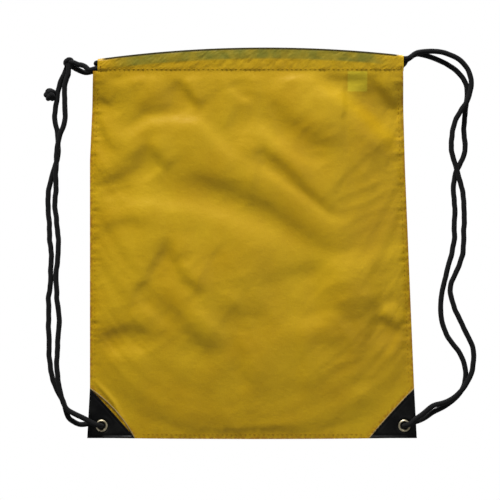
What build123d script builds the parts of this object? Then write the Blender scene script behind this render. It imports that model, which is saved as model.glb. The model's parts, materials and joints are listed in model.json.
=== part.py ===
"""Drawstring backpack: two sewn fabric panels, a hem tunnel on each, leather corner
patches with brass eyelets, and two cords that run through both tunnels.

Millimetres. X is the width, Z is up, the front faces -Y. The origin is the middle of the
bottom edge, in the plane where the side seams meet.
"""

import os
from math import atan2, cos, degrees, radians, sin, sqrt

from build123d import *

os.makedirs("parts", exist_ok=True)

# ---- driving dimensions -------------------------------------------------------------
SEAM_TOP = 396.0            # where both panels end and the hems begin
BOTTOM_HALF_WIDTH = 175.3
LEFT_STRAIGHT_TO = 300.0    # the left edge leans in above this height
LEFT_TOP_X = -171.0
RIGHT_STRAIGHT_TO = 54.0    # the right edge leans in above this height
RIGHT_KNEE = (165.5, 290.0)
RIGHT_TOP_X = 162.5
CLOTH = 0.6                 # a panel with its coating and turned edge
SEAM_GAP = 0.1              # from the seam plane to the back panel; the front one touches it

FRONT_DEPTH = 16.0          # how far the front panel swells
FRONT_MOUTH_DEPTH = 7.5
BACK_DEPTH = 10.6           # the back panel lies flat at this depth

CORD_RADIUS = 2.8
RUN_DEPTH = 7.0             # from the seam plane to the cords inside a hem
HEM_CENTRE = (15.0, -903.5) # the hems bow about this far centre, in X and Z
HEM_RADIUS = 1325.0
RUN_RADIUS_HIGH = 1321.3    # the right cord runs in the upper half of each hem
RUN_RADIUS_LOW = 1314.9     # the left cord runs in the lower half
HEM_FRONT = 10.2
HEM_INNER = 3.6
HEM_LEFT = -162.5
HEM_RIGHT = 159.5
TUNNEL_DEPTH = 6.0

PATCH_THICK = 1.0
PATCH_FACE = 0.85           # where a patch begins, out from the seam plane
EYELET_HOLE = 4.0
BARREL_RADIUS = 4.65
PUNCHED_RADIUS = 4.75
LEFT_HOLE = (-162.5, 13.5)
RIGHT_HOLE = (164.5, 13.5)
LOOP_RADIUS = 6.0           # the cord's bend through an eyelet

KNOT_CENTRE = (-198.0, 0.0, 405.8)
KNOT_RADIUS = 6.5
BEND_GAP = 0.2              # between a soft bend and the cord it joins
STRAND_DEPTH = 3.0          # half the spacing of the two strands, front to back

STITCH_PITCH = 5.0
STITCH = (3.4, 0.3, 0.6)    # length, thickness, width
SIDE_STITCH_IN = 8.0

KNOT_GAP = 0.3


def save(builder, name):
    """Labels a finished sub-part and writes its STEP file."""
    builder.part.label = name
    export_step(builder.part, f"parts/{name}.step")


# ---- shared shapes ------------------------------------------------------------------
def panel_outline():
    """The cut shape of one panel, as points in X and Z."""
    return [
        (-BOTTOM_HALF_WIDTH, 0),
        (-BOTTOM_HALF_WIDTH, LEFT_STRAIGHT_TO),
        (LEFT_TOP_X, SEAM_TOP),
        (RIGHT_TOP_X, SEAM_TOP),
        RIGHT_KNEE,
        (BOTTOM_HALF_WIDTH, RIGHT_STRAIGHT_TO),
        (BOTTOM_HALF_WIDTH, 0),
    ]


def left_edge(height):
    """X of the left side seam's outer edge."""
    lean = max(0.0, height - LEFT_STRAIGHT_TO) / (SEAM_TOP - LEFT_STRAIGHT_TO)
    return -BOTTOM_HALF_WIDTH + lean * (LEFT_TOP_X + BOTTOM_HALF_WIDTH)


def right_edge(height):
    """X of the right side seam's outer edge."""
    if height <= RIGHT_KNEE[1]:
        lean = max(0.0, height - RIGHT_STRAIGHT_TO) / (RIGHT_KNEE[1] - RIGHT_STRAIGHT_TO)
        return BOTTOM_HALF_WIDTH + lean * (RIGHT_KNEE[0] - BOTTOM_HALF_WIDTH)
    lean = (height - RIGHT_KNEE[1]) / (SEAM_TOP - RIGHT_KNEE[1])
    return RIGHT_KNEE[0] + lean * (RIGHT_TOP_X - RIGHT_KNEE[0])


def swell(inset, low, top):
    """A six-sided outline inside the seams: inset from them, from low up to top."""
    left, right = -163.0 + inset, 159.0 - inset
    return [
        (left, top),
        (left - 2, low + 76),
        (left + 66 - inset / 2, low),
        (right - 58 + inset / 2, low),
        (right + 4, low + 76),
        (right - 4, top),
    ]


def on_hem(radius, x):
    """Height of the arc of this radius about the hems' far centre."""
    return HEM_CENTRE[1] + sqrt(radius**2 - (x - HEM_CENTRE[0]) ** 2)


def along_hem(radius, x):
    """Direction of that arc towards +X."""
    return (on_hem(radius, x) - HEM_CENTRE[1], 0, -(x - HEM_CENTRE[0]))


# ---- panels -------------------------------------------------------------------------
with BuildPart() as front_panel:
    with BuildSketch(Plane.XZ):
        Polygon(*panel_outline(), align=None)
    extrude(amount=CLOTH)
    with BuildSketch(Plane.XZ):
        Polygon(*swell(0, 12, SEAM_TOP), align=None)
    with BuildSketch(Plane.XZ.offset(FRONT_MOUTH_DEPTH)):
        Polygon(*swell(28, 40, SEAM_TOP), align=None)
    with BuildSketch(Plane.XZ.offset(FRONT_DEPTH)):
        Polygon(*swell(60, 90, 330), align=None)
    loft(ruled=True)
    with BuildSketch(Plane.XZ.offset(-CLOTH)):
        Polygon(*swell(1, 13, SEAM_TOP + 2), align=None)
    with BuildSketch(Plane.XZ.offset(FRONT_MOUTH_DEPTH - CLOTH * 1.5)):
        Polygon(*swell(29, 41, SEAM_TOP + 2), align=None)
    with BuildSketch(Plane.XZ.offset(FRONT_DEPTH - CLOTH)):
        Polygon(*swell(61, 91, 329), align=None)
    loft(ruled=True, mode=Mode.SUBTRACT)
    for hole in (LEFT_HOLE, RIGHT_HOLE):
        with Locations((hole[0], 0, hole[1])):
            Cylinder(PUNCHED_RADIUS, 4, rotation=(90, 0, 0), mode=Mode.SUBTRACT)
save(front_panel, "front_panel")

with BuildPart() as back_panel:
    with BuildSketch(Plane.XZ.offset(-SEAM_GAP)):
        Polygon(*panel_outline(), align=None)
    extrude(amount=-CLOTH)
    with BuildSketch(Plane.XZ.offset(-SEAM_GAP)):
        Polygon(*swell(0, 12, SEAM_TOP), align=None)
    with BuildSketch(Plane.XZ.offset(-BACK_DEPTH)):
        Polygon(*swell(38, 50, SEAM_TOP), align=None)
    loft(ruled=True)
    with BuildSketch(Plane.XZ.offset(CLOTH - SEAM_GAP)):
        Polygon(*swell(1, 13, SEAM_TOP + 2), align=None)
    with BuildSketch(Plane.XZ.offset(CLOTH - BACK_DEPTH)):
        Polygon(*swell(39, 51, SEAM_TOP + 2), align=None)
    loft(ruled=True, mode=Mode.SUBTRACT)
    for hole in (LEFT_HOLE, RIGHT_HOLE):
        with Locations((hole[0], 0, hole[1])):
            Cylinder(PUNCHED_RADIUS, 4, rotation=(90, 0, 0), mode=Mode.SUBTRACT)
save(back_panel, "back_panel")


# ---- hems: a folded sleeve on each panel, open at both ends ---------------------------
def hem(side, name):
    """One hem; side is -1 for the front and +1 for the back."""
    reach = 8.5
    low_end = SEAM_TOP + 0.2
    middle = (RUN_RADIUS_HIGH + RUN_RADIUS_LOW) / 2
    slot_length = RUN_RADIUS_HIGH - RUN_RADIUS_LOW + TUNNEL_DEPTH
    start = Plane(
        origin=(HEM_CENTRE[0], 0, HEM_CENTRE[1]),
        x_dir=(-sin(radians(reach)), 0, cos(radians(reach))),
        z_dir=(-cos(radians(reach)), 0, -sin(radians(reach))),
    )
    far_axis = Axis((HEM_CENTRE[0], 0, HEM_CENTRE[1]), (0, 1, 0))
    with BuildPart() as sleeve:
        with BuildSketch(Plane.XZ.offset(HEM_INNER if side < 0 else -HEM_FRONT)):
            with BuildLine():
                Polyline(
                    (HEM_LEFT, on_hem(HEM_RADIUS, HEM_LEFT)),
                    (HEM_LEFT, low_end),
                    (HEM_RIGHT, low_end),
                    (HEM_RIGHT, on_hem(HEM_RADIUS, HEM_RIGHT)),
                )
                ThreePointArc(
                    (HEM_LEFT, on_hem(HEM_RADIUS, HEM_LEFT)),
                    (HEM_CENTRE[0], HEM_CENTRE[1] + HEM_RADIUS),
                    (HEM_RIGHT, on_hem(HEM_RADIUS, HEM_RIGHT)),
                )
            make_face()
        extrude(amount=HEM_FRONT - HEM_INNER)
        top_edges = sleeve.edges().filter_by(GeomType.CIRCLE).group_by(Axis.Z)[-1]
        fillet(top_edges, radius=2.0)
        with BuildSketch(start):
            with Locations((middle, side * RUN_DEPTH)):
                SlotOverall(slot_length, TUNNEL_DEPTH)
        revolve(axis=far_axis, revolution_arc=2 * reach, mode=Mode.SUBTRACT)
    save(sleeve, name)
    return sleeve


front_hem = hem(-1, "front_hem")
back_hem = hem(1, "back_hem")


# ---- corner patches, eyelets and washers -----------------------------------------------
def corner_patch(hand, side, name):
    """A leather triangle; hand is -1 at the left, side is -1 at the front."""
    hole = LEFT_HOLE if hand < 0 else RIGHT_HOLE
    near = PATCH_FACE if side < 0 else -PATCH_FACE
    with BuildPart() as patch:
        with BuildSketch(Plane.XZ.offset(near)) as cut:
            Polygon(
                (hand * 175.3, 54.0),
                (hand * 178.6, 3.0),
                (hand * 178.0, 0.0),
                (hand * 126.6, 0.0),
                align=None,
            )
            fillet(cut.vertices().group_by(Axis.X)[0 if hand < 0 else -1], radius=1.5)
        extrude(amount=-side * PATCH_THICK)
        with Locations((hole[0], 0, hole[1])):
            Cylinder(PUNCHED_RADIUS, 8, rotation=(90, 0, 0), mode=Mode.SUBTRACT)
    save(patch, name)
    return patch


front_left_patch = corner_patch(-1, -1, "front_left_patch")
front_right_patch = corner_patch(1, -1, "front_right_patch")
back_left_patch = corner_patch(-1, 1, "back_left_patch")
back_right_patch = corner_patch(1, 1, "back_right_patch")


def eyelet(hole, name):
    """A brass eyelet: domed flange in front, barrel, and a rolled lip behind."""
    across = Plane(origin=(hole[0], 0, hole[1]), x_dir=(1, 0, 0), z_dir=(0, 0, 1))
    with BuildPart() as ring:
        with BuildSketch(across):
            Polygon(
                (EYELET_HOLE, -1.5),
                (4.4, -2.4),
                (5.2, -2.7),
                (6.2, -2.5),
                (6.6, -1.95),
                (BARREL_RADIUS, -1.95),
                (BARREL_RADIUS, 2.42),
                (5.4, 2.45),
                (5.2, 2.7),
                (4.5, 2.5),
                (EYELET_HOLE, 1.5),
                align=None,
            )
        revolve(axis=Axis((hole[0], 0, hole[1]), (0, 1, 0)))
    save(ring, name)
    return ring


def washer(hole, name):
    """The flat brass ring that the rolled lip holds against the back patch."""
    with BuildPart() as ring:
        with BuildSketch(Plane.XZ.offset(-1.95)):
            with Locations(hole):
                Circle(6.6)
                Circle(PUNCHED_RADIUS, mode=Mode.SUBTRACT)
        extrude(amount=-0.42)
    save(ring, name)
    return ring


left_eyelet = eyelet(LEFT_HOLE, "left_eyelet")
right_eyelet = eyelet(RIGHT_HOLE, "right_eyelet")
left_washer = washer(LEFT_HOLE, "left_washer")
right_washer = washer(RIGHT_HOLE, "right_washer")

with BuildPart() as care_label:
    with Locations((113.5, -5.6, 385.0)):
        Box(21.0, CLOTH / 2, 21.4)
save(care_label, "care_label")


# ---- stitching ------------------------------------------------------------------------
def stitch_row(points, depth):
    """Stitches at points in X and Z, each with its slope in degrees, lying at this depth."""
    with Locations([Location((x, depth, z), (0, -slope, 0)) for x, z, slope in points]):
        Box(*STITCH)


def steps(start, stop, pitch=STITCH_PITCH):
    """Evenly spaced values from start up to stop."""
    count = int((stop - start) / pitch)
    return [start + i * pitch for i in range(count + 1)]


HEM_STITCH_Z = 397.4
HEM_STITCH_DEPTH = HEM_FRONT + 0.2
SHEET_STITCH_DEPTH = SEAM_GAP + CLOTH + 0.2
PATCH_STITCH_DEPTH = PATCH_FACE + PATCH_THICK + 0.2

with BuildPart() as front_hem_stitching:
    stitch_row([(x, HEM_STITCH_Z, 0) for x in steps(-158, 156)], -HEM_STITCH_DEPTH)
save(front_hem_stitching, "front_hem_stitching")

with BuildPart() as back_hem_stitching:
    stitch_row([(x, HEM_STITCH_Z, 0) for x in steps(-158, 156)], HEM_STITCH_DEPTH)
save(back_hem_stitching, "back_hem_stitching")

with BuildPart() as left_seam_stitching:
    rising = [(left_edge(z) + SIDE_STITCH_IN, z, 90) for z in steps(66, 390)]
    stitch_row(rising, -SHEET_STITCH_DEPTH)
save(left_seam_stitching, "left_seam_stitching")

with BuildPart() as right_seam_stitching:
    rising = [(right_edge(z) - SIDE_STITCH_IN, z, 90) for z in steps(66, 390)]
    stitch_row(rising, -SHEET_STITCH_DEPTH)
save(right_seam_stitching, "right_seam_stitching")

with BuildPart() as bottom_seam_stitching:
    stitch_row([(x, 6.0, 0) for x in steps(-115, 115)], -SHEET_STITCH_DEPTH)
save(bottom_seam_stitching, "bottom_seam_stitching")

with BuildPart() as patch_stitching:
    for hand in (-1, 1):
        fall = degrees(atan2(-55.2, 49.3))
        row = [
            (hand * (171.6 - 0.666 * s), 50.4 - 0.746 * s, -hand * fall)
            for s in steps(4, 60)
        ]
        stitch_row(row, -PATCH_STITCH_DEPTH)
        stitch_row(row, PATCH_STITCH_DEPTH)
save(patch_stitching, "patch_stitching")

with BuildPart() as tunnel_end_stitching:
    for x in (HEM_LEFT + 5, HEM_RIGHT - 5):
        upright = [(x, HEM_STITCH_Z + 4 + 4 * i, 90) for i in range(2)]
        stitch_row(upright, -HEM_STITCH_DEPTH)
        stitch_row(upright, HEM_STITCH_DEPTH)
save(tunnel_end_stitching, "tunnel_end_stitching")


# ---- cords ----------------------------------------------------------------------------
def run_point(radius, x, side):
    """A point on a cord's centre line inside a hem."""
    return (x, side * RUN_DEPTH, on_hem(radius, x))


def turn_apex(radius, x, hand):
    """The outermost point of a cord's turn from the front hem to the back hem."""
    toward = Vector(*along_hem(radius, x)).normalized() * (hand * RUN_DEPTH)
    return (x + toward.X, 0, on_hem(radius, x) + toward.Z)


LEFT_TURN_X = -161.8        # the right cord turns here, outside the left tunnel ends
RIGHT_TURN_X = 159.0        # the left cord turns here, outside the right tunnel ends
RIGHT_EXIT_X = 163.3
LEFT_EXIT_X = -166.0

with BuildPart() as right_tunnel_cord:
    high = RUN_RADIUS_HIGH
    with BuildLine() as line:
        ThreePointArc(
            run_point(high, RIGHT_EXIT_X, -1),
            run_point(high, 0, -1),
            run_point(high, LEFT_TURN_X, -1),
        )
        ThreePointArc(
            run_point(high, LEFT_TURN_X, -1),
            turn_apex(high, LEFT_TURN_X, -1),
            run_point(high, LEFT_TURN_X, 1),
        )
        ThreePointArc(
            run_point(high, LEFT_TURN_X, 1),
            run_point(high, 0, 1),
            run_point(high, RIGHT_EXIT_X, 1),
        )
    with BuildSketch(Plane(origin=line.line @ 0, z_dir=line.line % 0)):
        Circle(CORD_RADIUS)
    sweep()
save(right_tunnel_cord, "right_tunnel_cord")

with BuildPart() as left_tunnel_cord:
    low = RUN_RADIUS_LOW
    leaving = Vector(*along_hem(low, LEFT_EXIT_X)).normalized()
    with BuildLine() as line:
        Spline(
            (-198.0, -2.9, 405.8),
            (-190.5, -3.2, 406.9),
            (-180.7, -4.6, 405.4),
            run_point(low, LEFT_EXIT_X, -1),
            tangents=[(1, 0, 0.1), leaving],
        )
        ThreePointArc(
            run_point(low, LEFT_EXIT_X, -1),
            run_point(low, 0, -1),
            run_point(low, RIGHT_TURN_X, -1),
        )
        ThreePointArc(
            run_point(low, RIGHT_TURN_X, -1),
            turn_apex(low, RIGHT_TURN_X, 1),
            run_point(low, RIGHT_TURN_X, 1),
        )
        ThreePointArc(
            run_point(low, RIGHT_TURN_X, 1),
            run_point(low, 0, 1),
            run_point(low, LEFT_EXIT_X, 1),
        )
        Spline(
            run_point(low, LEFT_EXIT_X, 1),
            (-180.7, 4.6, 395.0),
            (-190.0, 3.2, 398.8),
            (-198.0, 2.9, 404.8),
            tangents=[-leaving, (-1, 0, 0.8)],
        )
    with BuildSketch(Plane(origin=line.line @ 0, z_dir=line.line % 0)):
        Circle(CORD_RADIUS)
    sweep()
    with Locations(KNOT_CENTRE):
        Sphere(KNOT_RADIUS + KNOT_GAP, mode=Mode.SUBTRACT)
save(left_tunnel_cord, "left_tunnel_cord")

with BuildPart() as left_upper_knot:
    with Locations(KNOT_CENTRE):
        Sphere(KNOT_RADIUS)
save(left_upper_knot, "left_upper_knot")


def at_depth(depth, *pairs):
    """Points in X and Z at one depth."""
    return [(x, depth, z) for x, z in pairs]


def swept(line, name):
    """A full round cord along a finished centre line."""
    with BuildPart() as length:
        add(line)
        with BuildSketch(Plane(origin=line @ 0, z_dir=line % 0)):
            Circle(CORD_RADIUS)
        sweep()
    save(length, name)
    return length


def soft_curve(*points):
    """A smooth centre line through points."""
    with BuildLine() as line:
        Spline(*points)
    return line.line


def eyelet_curve(hole, hand, rise, front_arm, back_arm):
    """A cord's centre line in by the front arm, round through the eyelet, out behind.

    hand is the side it leaves by; rise is how steeply it climbs away from the hole."""
    outward = Vector(hand, 0, rise).normalized()
    centre = Vector(hole[0], 0, hole[1])
    turn_in = centre + outward * LOOP_RADIUS + Vector(0, -LOOP_RADIUS, 0)
    turn_out = centre + outward * LOOP_RADIUS + Vector(0, LOOP_RADIUS, 0)
    arriving = Vector(*front_arm[1]) - Vector(*front_arm[0])
    leaving = Vector(*back_arm[-1]) - Vector(*back_arm[-2])
    with BuildLine() as line:
        Spline(*front_arm, turn_in, tangents=[arriving, -outward])
        ThreePointArc(turn_in, centre, turn_out)
        Spline(turn_out, *back_arm, tangents=[outward, leaving])
    return line.line


def soft_bend(start_line, end_line):
    """The flexible length of cord that joins the ends of two centre lines."""
    start_way, end_way = start_line % 1, end_line % 0
    with BuildLine() as line:
        Spline(
            (start_line @ 1) + start_way * BEND_GAP,
            (end_line @ 0) - end_way * BEND_GAP,
            tangents=[start_way, end_way],
        )
    with BuildPart() as bend:
        add(line.line)
        with BuildSketch(Plane(origin=line.line @ 0, z_dir=line.line % 0)):
            Circle(CORD_RADIUS)
        sweep()
    return bend.part


def save_pair(first, second, name):
    """Saves the two soft bends at one pivot as one sub-part."""
    with BuildPart() as pair:
        add(first)
        add(second)
    save(pair, name)
    return pair


# The left strap's two strands. They stop short of the upper knot, so the strap can swing there.
left_front_line = soft_curve(*at_depth(
    -STRAND_DEPTH,
    (-198.4, 392.8), (-201.5, 384.0), (-202.3, 363.0), (-202.5, 343.0), (-209.9, 317.0),
    (-211.5, 290.0), (-212.4, 257.5), (-209.3, 203.0), (-211.5, 171.0), (-208.4, 125.0),
    (-211.0, 84.4), (-209.0, 60.0), (-205.5, 44.0),
))
left_back_line = soft_curve(*at_depth(
    STRAND_DEPTH,
    (-206.0, 42.0), (-212.0, 53.0), (-217.3, 68.0), (-219.6, 90.0), (-220.4, 140.0),
    (-217.6, 192.6), (-220.6, 240.0), (-218.4, 279.2), (-212.3, 297.0), (-211.0, 331.0),
    (-213.8, 349.0), (-211.3, 367.0), (-208.5, 383.0), (-204.0, 392.8),
))
left_turn_line = eyelet_curve(
    LEFT_HOLE, -1, 0.3,
    [(-197.0, -3.6, 29.4), (-188.0, -4.8, 25.0), (-178.5, -5.7, 20.6)],
    [(-178.5, 5.7, 14.8), (-188.0, 4.8, 14.4), (-195.5, 3.6, 18.6)],
)
swept(left_front_line, "left_strand_front")
swept(left_back_line, "left_strand_back")
swept(left_turn_line, "left_eyelet_cord")
left_low_bend = save_pair(
    soft_bend(left_front_line, left_turn_line),
    soft_bend(left_turn_line, left_back_line),
    "left_low_bend",
)

# The right strap's two strands, downwards from the tunnel ends and back up behind.
right_front_line = soft_curve(*at_depth(
    -STRAND_DEPTH,
    (181.0, 417.0), (192.0, 418.0), (205.0, 417.0), (218.0, 412.5), (229.5, 403.5),
    (236.2, 388.0), (234.5, 371.0), (222.0, 347.0), (214.8, 320.0), (221.5, 289.0),
    (228.0, 260.0), (229.0, 225.0), (223.5, 187.0), (214.4, 164.0), (220.0, 138.0),
    (231.5, 113.0), (239.8, 88.0), (234.0, 64.0), (221.0, 46.5), (201.0, 37.0),
))
right_back_line = soft_curve(*at_depth(
    STRAND_DEPTH,
    (199.5, 29.5), (215.0, 38.5), (229.0, 55.0), (230.0, 80.0), (219.5, 99.0),
    (207.5, 120.0), (204.4, 139.0), (208.0, 168.0), (217.5, 205.0), (219.0, 255.0),
    (219.8, 283.0), (229.8, 308.0), (229.8, 332.0), (232.6, 366.0), (231.5, 384.0),
    (221.0, 398.0), (205.0, 407.8), (192.0, 413.0), (181.0, 415.6),
))
right_turn_line = eyelet_curve(
    RIGHT_HOLE, 1, 0.39,
    [(185.0, -4.6, 27.2), (181.0, -5.3, 24.4), (176.0, -5.9, 21.0)],
    [(176.0, 5.9, 16.6), (181.0, 5.3, 18.2), (185.5, 4.6, 20.4)],
)
swept(right_front_line, "right_strand_front")
swept(right_back_line, "right_strand_back")
swept(right_turn_line, "right_eyelet_cord")
right_low_bend = save_pair(
    soft_bend(right_front_line, right_turn_line),
    soft_bend(right_turn_line, right_back_line),
    "right_low_bend",
)
right_exit = Vector(*along_hem(RUN_RADIUS_HIGH, RIGHT_EXIT_X)).normalized()
with BuildPart() as right_top_bend:
    for side, line_end, way in (
        (-1, right_front_line @ 0, right_front_line % 0),
        (1, right_back_line @ 1, -(right_back_line % 1)),
    ):
        begin = Vector(*run_point(RUN_RADIUS_HIGH, RIGHT_EXIT_X, side)) + right_exit * BEND_GAP
        with BuildLine() as line:
            Spline(begin, line_end - way * BEND_GAP, tangents=[right_exit, way])
        with BuildSketch(Plane(origin=begin, z_dir=right_exit)):
            Circle(CORD_RADIUS)
        sweep()
save(right_top_bend, "right_top_bend")

with BuildPart() as stopper_knot:
    with Locations((-219.2, STRAND_DEPTH, 372.0)):
        Sphere(6.2)
    beside_strand = Plane(origin=(-214.6, STRAND_DEPTH, 372.0), z_dir=(1, 0, -0.14))
    split(bisect_by=beside_strand, keep=Keep.BOTTOM)
save(stopper_knot, "stopper_knot")
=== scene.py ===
"""Looks for the drawstring backpack: cloth, leather, cords, eyelets and stitches around
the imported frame. Lengths inside this script are millimetres until a mesh is made."""

import json
import math

import bpy
import numpy as np
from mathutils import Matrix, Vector, noise
from mathutils.bvhtree import BVHTree

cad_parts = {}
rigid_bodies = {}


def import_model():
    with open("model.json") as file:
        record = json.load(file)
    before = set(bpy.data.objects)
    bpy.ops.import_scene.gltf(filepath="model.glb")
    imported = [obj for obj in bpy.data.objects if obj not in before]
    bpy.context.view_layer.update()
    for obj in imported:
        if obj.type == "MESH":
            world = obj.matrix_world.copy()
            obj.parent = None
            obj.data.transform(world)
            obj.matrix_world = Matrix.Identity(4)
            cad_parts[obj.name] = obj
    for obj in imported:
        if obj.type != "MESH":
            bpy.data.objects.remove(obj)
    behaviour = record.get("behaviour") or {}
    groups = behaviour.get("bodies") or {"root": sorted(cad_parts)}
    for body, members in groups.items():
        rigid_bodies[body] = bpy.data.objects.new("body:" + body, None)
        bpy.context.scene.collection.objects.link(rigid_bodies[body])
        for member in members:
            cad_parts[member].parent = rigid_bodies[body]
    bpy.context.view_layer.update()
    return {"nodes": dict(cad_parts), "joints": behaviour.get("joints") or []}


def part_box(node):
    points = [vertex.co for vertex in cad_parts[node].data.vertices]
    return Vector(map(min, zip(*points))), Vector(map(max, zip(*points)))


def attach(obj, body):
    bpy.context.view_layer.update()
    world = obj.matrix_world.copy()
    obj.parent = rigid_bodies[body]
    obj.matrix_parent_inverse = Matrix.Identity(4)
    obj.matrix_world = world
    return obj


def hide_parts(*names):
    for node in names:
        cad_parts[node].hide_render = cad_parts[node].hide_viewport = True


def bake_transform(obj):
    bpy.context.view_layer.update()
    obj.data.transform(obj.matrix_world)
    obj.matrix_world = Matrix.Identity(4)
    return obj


for left_over in list(bpy.data.objects):
    bpy.data.objects.remove(left_over)
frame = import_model()
MM = 0.001


def box_mm(node):
    """Lowest and highest corner of a CAD node, in millimetres."""
    low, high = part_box(node)
    return np.array(low) / MM, np.array(high) / MM


panel_low, panel_high = box_mm("front_panel")
hem_low, hem_high = box_mm("front_hem")
label_low, label_high = box_mm("care_label")
SEAM_TOP = panel_high[2]            # the stitch line between panel and hem
SEAM_STAND = 2.2                    # how far the cloth stands out over that line
HEM_TOP = hem_high[2]               # highest point of the bowed top edge
RUN_DEPTH = -(hem_low[1] + hem_high[1]) / 2
FRONT_DEPTH = -panel_low[1]
BACK_DEPTH = box_mm("back_panel")[1][1]
CORD_RADIUS = 2.8
CLOTH_THICK = 0.35
# A corner patch is a triangle: its diagonal falls PATCH_TALL while it comes in PATCH_WIDE.
PATCH_OUTER, PATCH_WIDE, PATCH_TALL = 175.3, 49.0, 54.0
PATCH_SLANT = 73.0                  # length of the diagonal
PATCH_DEEP = 36.3                   # from the corner to the diagonal
HANDS = ((-1, "left"), (1, "right"))
FACES = ((-1, "front"), (1, "back"))

# The pull hinges turn about the far centre that the hems bow round.
pull = next(j for j in frame["joints"] if j["name"] == "left_cord_pull")
BOW_X, BOW_Z = pull["pos_m"][0] / MM, pull["pos_m"][2] / MM
BOW_RADIUS = HEM_TOP - BOW_Z


# ---- small mesh tools -----------------------------------------------------------------
def smooth(a, b, x):
    """A smooth step from 0 at a to 1 at b; a may be the larger."""
    t = np.clip((x - a) / (b - a), 0, 1)
    return t * t * (3 - 2 * t)


def make_object(name, nodes, verts, faces, material, marks=None, normals=None):
    """A smooth-shaded mesh from millimetre vertices, in place of one CAD node or several."""
    verts = np.asarray(verts, float) * MM
    mesh = bpy.data.meshes.new(name)
    mesh.from_pydata(verts.tolist(), [], faces)
    mesh.validate()
    mesh.polygons.foreach_set("use_smooth", [True] * len(mesh.polygons))
    for key, values in {"rest": verts, **(marks or {})}.items():
        values = np.asarray(values, np.float32)
        if values.ndim == 2:
            layer = mesh.attributes.new(key, "FLOAT_VECTOR", "POINT")
            layer.data.foreach_set("vector", values.ravel())
        else:
            layer = mesh.attributes.new(key, "FLOAT", "POINT")
            layer.data.foreach_set("value", values)
    if normals is not None:
        mesh.normals_split_custom_set_from_vertices(np.asarray(normals, float).tolist())
    mesh.materials.append(material)
    mesh.update()
    made = bpy.data.objects.new(name, mesh)
    bpy.context.scene.collection.objects.link(made)
    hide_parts(*([nodes] if isinstance(nodes, str) else nodes))
    return made


def quads(rows, columns, offset=0, flip=False, closed=False):
    """Faces of a grid of rows by columns vertices."""
    faces = []
    last = columns if closed else columns - 1
    for i in range(rows - 1):
        for j in range(last):
            k = (j + 1) % columns
            a, b = offset + i * columns + j, offset + i * columns + k
            c, d = a + columns, b + columns
            faces.append((a, c, d, b) if flip else (a, b, d, c))
    return faces


def grid_normals(points):
    """Unit normals of a grid of points, from its two directions."""
    across = np.gradient(points, axis=1)
    up = np.gradient(points, axis=0)
    normal = np.cross(across, up)
    return normal / np.maximum(np.linalg.norm(normal, axis=2, keepdims=True), 1e-9)


def shell(outer, normals, thick):
    """Vertices, faces and normals of a thin closed sheet whose outer side is a grid."""
    rows, columns = outer.shape[:2]
    verts = np.concatenate([outer.reshape(-1, 3), (outer - normals * thick).reshape(-1, 3)])
    count = rows * columns
    faces = quads(rows, columns) + quads(rows, columns, count, flip=True)
    border = [(0, j) for j in range(columns)]
    border += [(i, columns - 1) for i in range(1, rows)]
    border += [(rows - 1, j) for j in range(columns - 2, -1, -1)]
    border += [(i, 0) for i in range(rows - 2, 0, -1)]
    ring = [i * columns + j for i, j in border]
    for a, b in zip(ring, ring[1:] + ring[:1]):
        faces.append((b, a, a + count, b + count))
    both = np.concatenate([normals.reshape(-1, 3), -normals.reshape(-1, 3)])
    middle = rows // 2, columns // 2
    right = outer[middle[0], middle[1] + 1] - outer[middle]
    above = outer[middle[0] + 1, middle[1]] - outer[middle]
    if np.cross(right, above) @ normals[middle] < 0:
        faces = [face[::-1] for face in faces]
    return verts, faces, both


def noise_at(x, z, scale, seed):
    """Smooth noise over two arrays; scale is the size of its features."""
    flat = [
        noise.noise(Vector((a / scale, b / scale, seed)))
        for a, b in zip(np.ravel(x), np.ravel(z))
    ]
    return np.array(flat).reshape(np.shape(x))


# ---- node materials -------------------------------------------------------------------
def new_material(name):
    """A new node material, its node tree and its Principled node."""
    material = bpy.data.materials.new(name)
    material.use_nodes = True
    return material, material.node_tree, material.node_tree.nodes["Principled BSDF"]


def fill(tree, node, inputs):
    """Sets a node's inputs: an output socket is linked, and anything else is the value."""
    for key, value in inputs.items():
        if isinstance(value, bpy.types.NodeSocket):
            tree.links.new(value, node.inputs[key])
        else:
            node.inputs[key].default_value = value


def add_node(tree, kind, inputs=None, **settings):
    """Adds a node, sets its properties, and fills its inputs."""
    node = tree.nodes.new(kind)
    for key, value in settings.items():
        setattr(node, key, value)
    fill(tree, node, inputs or {})
    return node


def calc(tree, operation, a, b=0.0, c=0.0):
    """A math node's output."""
    return add_node(tree, "ShaderNodeMath", {0: a, 1: b, 2: c}, operation=operation).outputs[0]


def ripple(tree, value, length):
    """A sine wave along a value; length is from crest to crest."""
    return calc(tree, "SINE", calc(tree, "MULTIPLY", value, 2 * math.pi / length))


def ramp_between(tree, value, low, high, start=0.0, end=1.0):
    """A smooth step from start at low to end at high."""
    inputs = {"Value": value, "From Min": low, "From Max": high, "To Min": start, "To Max": end}
    node = add_node(tree, "ShaderNodeMapRange", inputs, interpolation_type="SMOOTHSTEP")
    return node.outputs["Result"]


MIX_FACTOR, MIX_A, MIX_B, MIX_RESULT = 0, 6, 7, 2     # a mix node's sockets for colours


def mix_colour(tree, factor, a, b):
    """A colour mix node's output."""
    inputs = {MIX_FACTOR: factor, MIX_A: a, MIX_B: b}
    return add_node(tree, "ShaderNodeMix", inputs, data_type="RGBA").outputs[MIX_RESULT]


def attribute(tree, name, output="Fac"):
    """One of the mesh's own attributes; the one named rest is the place at rest in metres."""
    return add_node(tree, "ShaderNodeAttribute", attribute_name=name).outputs[output]


def parts_of(tree, vector):
    """A vector's X, Y and Z."""
    return add_node(tree, "ShaderNodeSeparateXYZ", {0: vector}).outputs


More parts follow.
